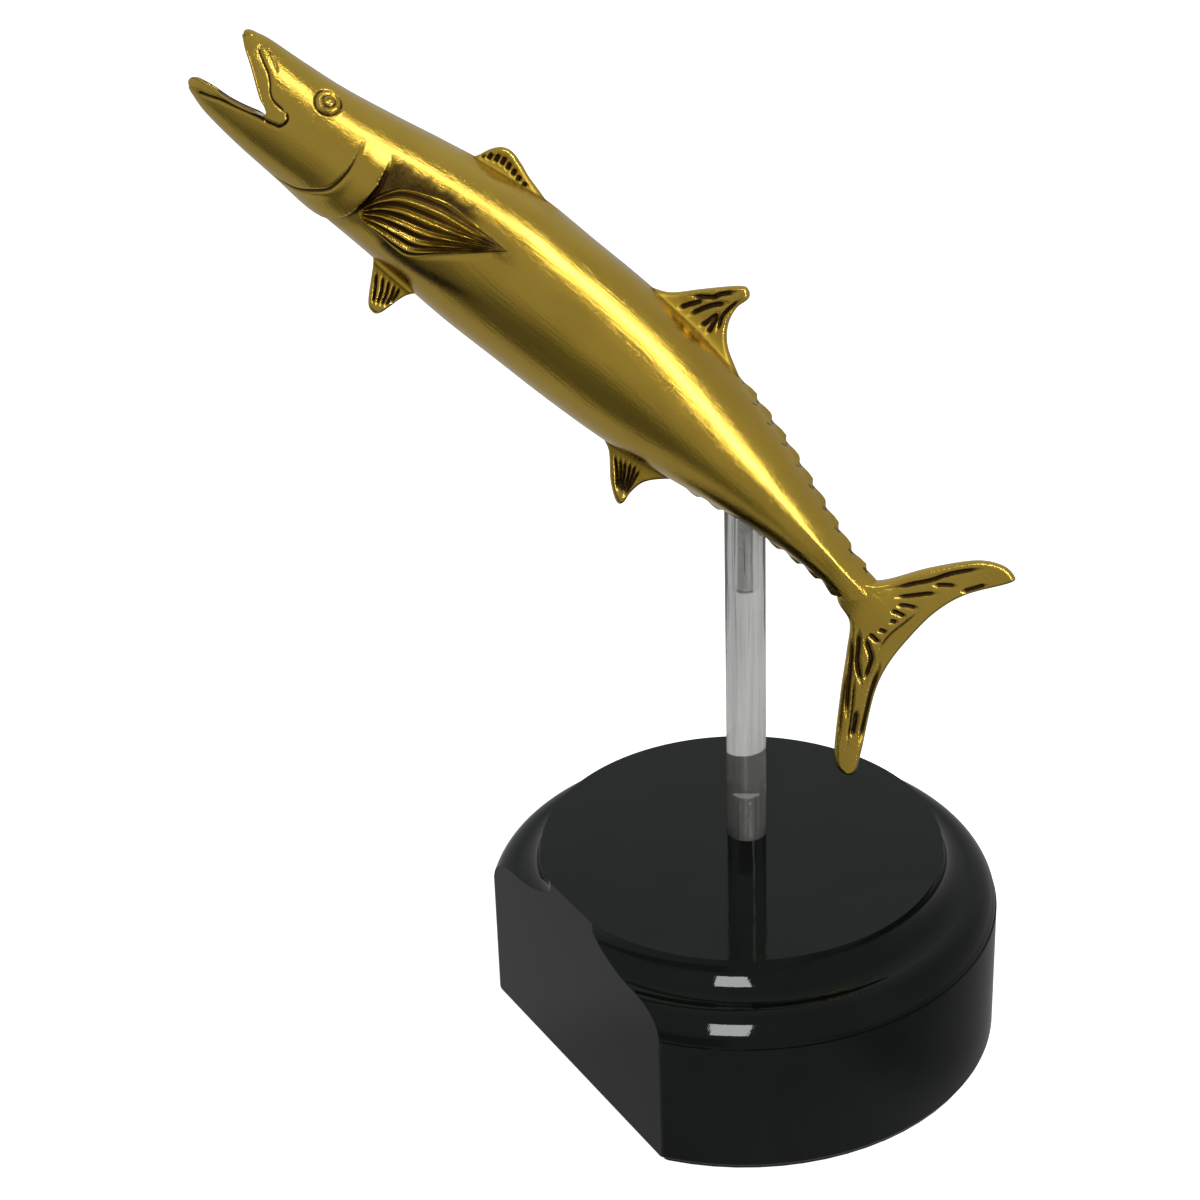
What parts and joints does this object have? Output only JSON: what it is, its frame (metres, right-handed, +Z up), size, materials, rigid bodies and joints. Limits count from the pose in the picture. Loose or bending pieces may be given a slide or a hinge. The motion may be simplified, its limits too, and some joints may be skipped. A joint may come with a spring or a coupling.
{
  "type": "fishing trophy",
  "caption": "Award figure: a cast metal game fish leaps from the top of a clear acrylic rod on a round moulded black base with a flat front for a plate.",
  "frame": {"origin": "the middle of the round base's circle, on the underside of the felt that it stands on", "axes": "+Z up; -Y out of the base's flat front; +X to the right of someone who faces that front"},
  "size_m": [0.159, 0.1562, 0.2568],
  "materials": {
    "gold_metal": "satin antique gold with dark recesses",
    "clear_acrylic": "clear polished acrylic",
    "black_lacquer": "black gloss lacquer over turned board",
    "black_felt": "matte felt",
    "steel": "plain zinc-plated"
  },
  "bodies": {
    "root": {"fish_casting": "gold_metal", "clear_rod": "clear_acrylic", "base_block": "black_lacquer", "felt_pad": "black_felt", "fish_stud": "steel", "base_screw": "steel", "base_washer": "steel"}
  },
  "joints": []
}
